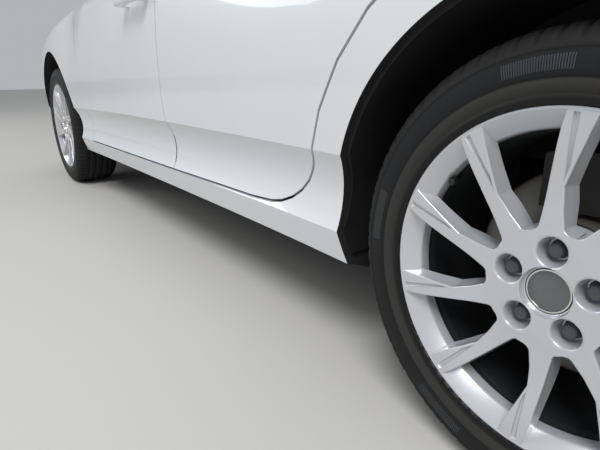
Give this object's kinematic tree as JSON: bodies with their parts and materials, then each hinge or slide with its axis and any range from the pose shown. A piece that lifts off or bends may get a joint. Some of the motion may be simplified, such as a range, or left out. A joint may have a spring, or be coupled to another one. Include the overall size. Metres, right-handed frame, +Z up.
{
  "type": "four-door saloon car",
  "caption": "Four-door saloon car on multi-spoke alloy wheels, with opening doors, bonnet and boot, steered front wheels and a furnished cabin.",
  "frame": {"origin": "on the ground, under the middle of the length and width", "axes": "+X forward, +Y to the left side of the car, +Z up"},
  "size_m": [4.702, 2.04, 1.4279],
  "materials": {
    "alloy": "silver wheel paint",
    "black_plastic": "moulded black plastic",
    "body_paint": "white gloss paint",
    "brake_iron": "machined braking faces",
    "cabin_plastic": "soft dash plastic",
    "engine_alloy": "cast",
    "exhaust_steel": "stainless",
    "glass_tint": "lightly tinted",
    "lamp_clear": "clear lamp cover",
    "lamp_red": "red lamp cover",
    "mirror_paint": "white gloss paint",
    "seat_cloth": "dark seat cloth",
    "steel": "cast and painted steel",
    "tyre_rubber": "road tyre",
    "underbody_coat": "black underbody coat"
  },
  "bodies": {
    "body": {"arch_liner_left": "black_plastic", "arch_liner_right": "black_plastic", "dashboard": "cabin_plastic", "engine": "engine_alloy", "exhaust": "exhaust_steel", "floor_pan": "underbody_coat", "front_bumper": "body_paint", "front_frame": "underbody_coat", "front_seat_left": "seat_cloth", "front_seat_right": "seat_cloth", "front_suspension": "steel", "front_wing_left": "body_paint", "front_wing_right": "body_paint", "grille": "black_plastic", "headlamp_left": "lamp_clear", "headlamp_right": "lamp_clear", "rear_arch_liner_left": "black_plastic", "rear_arch_liner_right": "black_plastic", "rear_bench": "seat_cloth", "rear_bumper": "body_paint", "rear_suspension": "steel", "rear_window": "glass_tint", "roof_panel": "body_paint", "side_frame_left": "body_paint", "side_frame_right": "body_paint", "tail_lamp_left": "lamp_red", "tail_lamp_right": "lamp_red", "windscreen": "glass_tint"},
    "wheel_front_left": {"front_tyre_left": "tyre_rubber", "front_rim_left": "alloy", "front_brake_disc_left": "brake_iron"},
    "front_door_left": {"front_door_left": "body_paint", "front_door_glass_left": "glass_tint", "mirror_left": "mirror_paint"},
    "wheel_rear_left": {"rear_tyre_left": "tyre_rubber", "rear_rim_left": "alloy", "rear_brake_disc_left": "brake_iron"},
    "rear_door_left": {"rear_door_left": "body_paint", "rear_door_glass_left": "glass_tint"},
    "knuckle_left": {"knuckle_left": "steel"},
    "wheel_front_right": {"front_tyre_right": "tyre_rubber", "front_rim_right": "alloy", "front_brake_disc_right": "brake_iron"},
    "front_door_right": {"front_door_right": "body_paint", "front_door_glass_right": "glass_tint", "mirror_right": "mirror_paint"},
    "wheel_rear_right": {"rear_tyre_right": "tyre_rubber", "rear_rim_right": "alloy", "rear_brake_disc_right": "brake_iron"},
    "rear_door_right": {"rear_door_right": "body_paint", "rear_door_glass_right": "glass_tint"},
    "knuckle_right": {"knuckle_right": "steel"},
    "bonnet": {"bonnet": "body_paint"},
    "boot_lid": {"boot_lid": "body_paint"},
    "steering_wheel": {"steering_wheel": "cabin_plastic"}
  },
  "joints": [
    {"name": "steer_left", "type": "hinge", "parent": "body", "child": "knuckle_left", "pos_m": [1.479, 0.722, 0.172], "axis": [0, -0.1603, 0.9871], "range_deg": [-32, 32]},
    {"name": "spin_front_left", "type": "hinge", "parent": "knuckle_left", "child": "wheel_front_left", "pos_m": [1.479, 0.7765, 0.3265], "axis": [0, 1, 0], "continuous": true},
    {"name": "spin_rear_left", "type": "hinge", "parent": "body", "child": "wheel_rear_left", "pos_m": [-1.329, 0.7765, 0.3265], "axis": [0, 1, 0], "continuous": true},
    {"name": "front_door_hinge_left", "type": "hinge", "parent": "body", "child": "front_door_left", "pos_m": [0.889, 0.899, 0.6], "axis": [0, 0, -1], "range_deg": [0, 68]},
    {"name": "rear_door_hinge_left", "type": "hinge", "parent": "body", "child": "rear_door_left", "pos_m": [-0.125, 0.898, 0.6], "axis": [0, 0, -1], "range_deg": [0, 70]},
    {"name": "steer_right", "type": "hinge", "parent": "body", "child": "knuckle_right", "pos_m": [1.479, -0.722, 0.172], "axis": [0, 0.1603, 0.9871], "range_deg": [-32, 32]},
    {"name": "spin_front_right", "type": "hinge", "parent": "knuckle_right", "child": "wheel_front_right", "pos_m": [1.479, -0.7765, 0.3265], "axis": [0, 1, 0], "continuous": true},
    {"name": "spin_rear_right", "type": "hinge", "parent": "body", "child": "wheel_rear_right", "pos_m": [-1.329, -0.7765, 0.3265], "axis": [0, 1, 0], "continuous": true},
    {"name": "front_door_hinge_right", "type": "hinge", "parent": "body", "child": "front_door_right", "pos_m": [0.889, -0.899, 0.6], "axis": [0, 0, 1], "range_deg": [0, 68]},
    {"name": "rear_door_hinge_right", "type": "hinge", "parent": "body", "child": "rear_door_right", "pos_m": [-0.125, -0.898, 0.6], "axis": [0, 0, 1], "range_deg": [0, 70]},
    {"name": "bonnet_hinge", "type": "hinge", "parent": "body", "child": "bonnet", "pos_m": [1.049, 0, 0.956], "axis": [0, -1, 0], "range_deg": [0, 55]},
    {"name": "boot_hinge", "type": "hinge", "parent": "body", "child": "boot_lid", "pos_m": [-1.674, 0, 1.044], "axis": [0, 1, 0], "range_deg": [0, 75]},
    {"name": "steering_column", "type": "hinge", "parent": "body", "child": "steering_wheel", "pos_m": [0.469, 0.37, 0.905], "axis": [-0.9135, 0, 0.4067], "range_deg": [-480, 480]}
  ],
  "couplings": [
    {"joint": "steer_right", "follows": "steer_left", "ratio": 1},
    {"joint": "steering_column", "follows": "steer_left", "ratio": 15}
  ]
}
